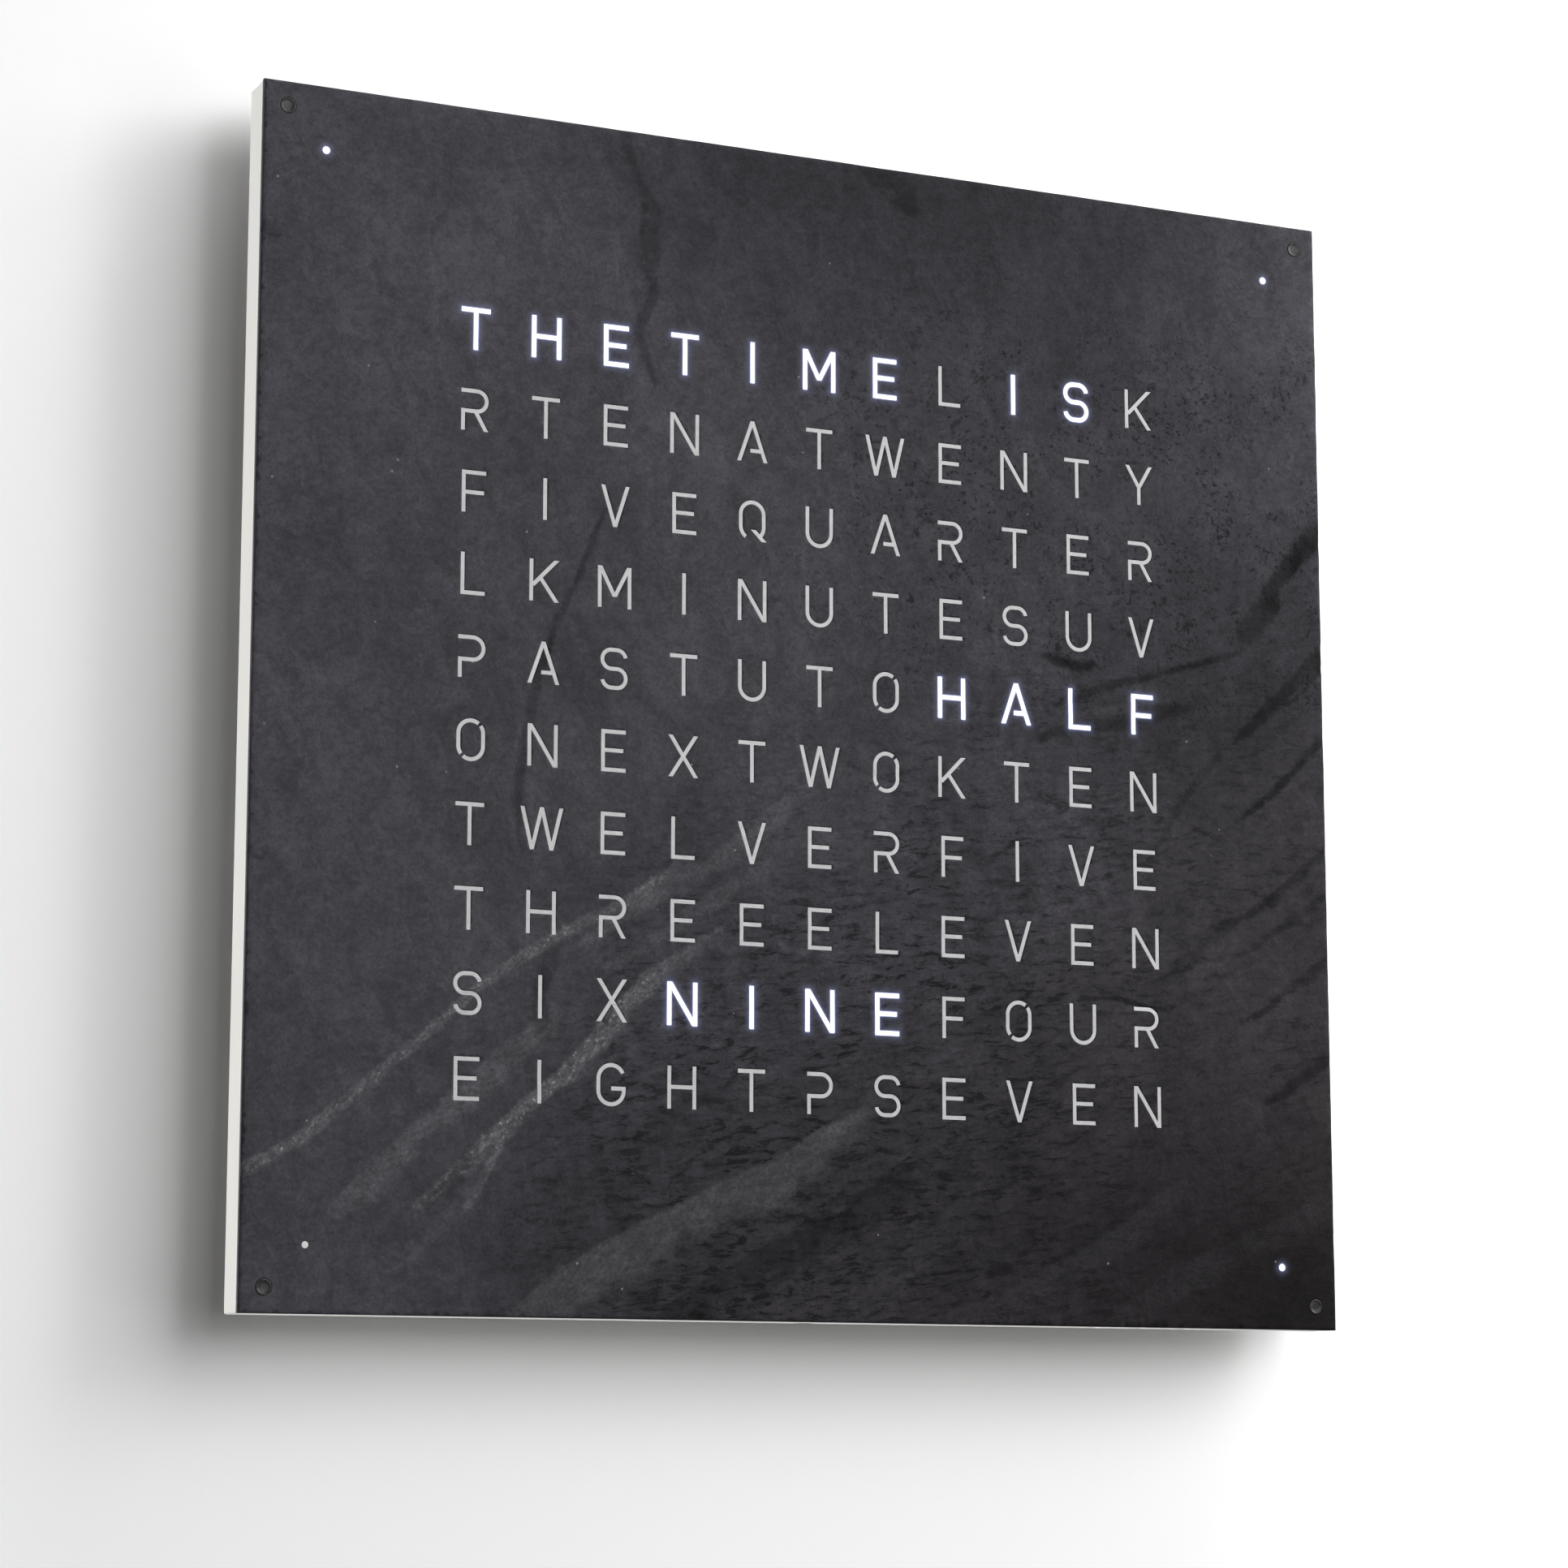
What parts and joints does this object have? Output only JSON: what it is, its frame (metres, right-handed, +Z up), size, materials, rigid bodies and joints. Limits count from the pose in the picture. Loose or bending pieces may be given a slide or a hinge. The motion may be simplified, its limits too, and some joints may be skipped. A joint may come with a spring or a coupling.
{
  "type": "word clock",
  "caption": "Square wall clock with a slate cover, stencilled letters lit from behind, minute dots in the corners and a white case.",
  "frame": {"origin": "centre of the wall plane that the clock hangs against", "axes": "+X right along the face as seen from the front, +Y into the wall, +Z up"},
  "size_m": [0.45, 0.019, 0.45],
  "materials": {
    "slate": "split natural slate veneer, matt, sealed",
    "carrier_steel": "black powder coat",
    "clear_acrylic": "clear acrylic insert",
    "lit_resin": "translucent resin, lit from behind",
    "unlit_resin": "translucent resin, unlit",
    "stud_steel": "dark oxide",
    "white_lacquer": "fibreboard in white satin lacquer",
    "rear_board": "thin hardboard, pale grey paint",
    "opal_acrylic": "opal acrylic sheet",
    "baffle_white": "moulded white polystyrene",
    "nickel": "nickel plate",
    "bush_nylon": "natural nylon",
    "zinc_steel": "zinc plate",
    "rivet_aluminium": "satin",
    "bumper_rubber": "matt rubber",
    "led_package": "white LED with phosphor",
    "connector_white": "moulded nylon",
    "green_board": "green solder mask",
    "white_board": "white solder mask",
    "flat_cable": "white polyester with conductors",
    "black_plastic": "moulded",
    "jack_plastic": "moulded",
    "chip_black": "moulded epoxy",
    "cell_steel": "bright steel",
    "switch_body": "moulded",
    "button_grey": "fine texture",
    "ferrite": "sintered ferrite",
    "copper_wire": "enamelled copper winding"
  },
  "bodies": {
    "case": {"antenna_clips": "connector_white", "antenna_coil": "copper_wire", "body_frame": "white_lacquer", "bus_board": "green_board", "button_sleeves": "rivet_aluminium", "coin_cell": "cell_steel", "coin_cell_holder": "black_plastic", "control_board": "green_board", "controller_chip": "chip_black", "cover_magnets": "nickel", "dc_jack": "jack_plastic", "dc_jack_pin": "nickel", "diffuser_sheet": "opal_acrylic", "ferrite_rod": "ferrite", "inlet_housing": "black_plastic", "keyhole_plates": "zinc_steel", "keyhole_rivets": "rivet_aluminium", "led_driver_chips": "chip_black", "led_strip_01": "white_board", "led_strip_02": "white_board", "led_strip_03": "white_board", "led_strip_04": "white_board", "led_strip_05": "white_board", "led_strip_06": "white_board", "led_strip_07": "white_board", "led_strip_08": "white_board", "led_strip_09": "white_board", "led_strip_10": "white_board", "letter_leds": "led_package", "light_baffle": "baffle_white", "matrix_flex": "flat_cable", "minute_flexes": "flat_cable", "minute_led_boards": "white_board", "minute_leds": "led_package", "minute_light_tubes": "baffle_white", "radio_board": "green_board", "radio_chip": "chip_black", "radio_flexes": "flat_cable", "rear_panel": "rear_board", "rear_panel_screws": "zinc_steel", "strip_connectors": "connector_white", "stud_bushes": "bush_nylon", "tact_switches": "switch_body", "wall_bumpers": "bumper_rubber"},
    "cover": {"slate_face": "slate", "cover_carrier": "carrier_steel", "letter_windows": "clear_acrylic", "minute_windows": "clear_acrylic", "lit_letter_fills": "lit_resin", "unlit_letter_fills": "unlit_resin", "lit_minute_fills": "lit_resin", "unlit_minute_fill": "unlit_resin", "corner_studs": "stud_steel"},
    "hours_key": {"button_hours": "button_grey", "switch_plunger_hours": "chip_black"},
    "minutes_key": {"button_minutes": "button_grey", "switch_plunger_minutes": "chip_black"},
    "brightness_key": {"button_brightness": "button_grey", "switch_plunger_brightness": "chip_black"}
  },
  "joints": [
    {"name": "cover_lift", "type": "slide", "parent": "case", "child": "cover", "axis": [0, -1, 0], "range_m": [0, 0.06]},
    {"name": "hours_press", "type": "slide", "parent": "case", "child": "hours_key", "axis": [0, 0, 1], "range_m": [0, 0.0008], "stiffness_N_per_m": 900, "springref_m": -0.0003},
    {"name": "minutes_press", "type": "slide", "parent": "case", "child": "minutes_key", "axis": [0, 0, 1], "range_m": [0, 0.0008], "stiffness_N_per_m": 900, "springref_m": -0.0003},
    {"name": "brightness_press", "type": "slide", "parent": "case", "child": "brightness_key", "axis": [0, 0, 1], "range_m": [0, 0.0008], "stiffness_N_per_m": 900, "springref_m": -0.0003}
  ]
}
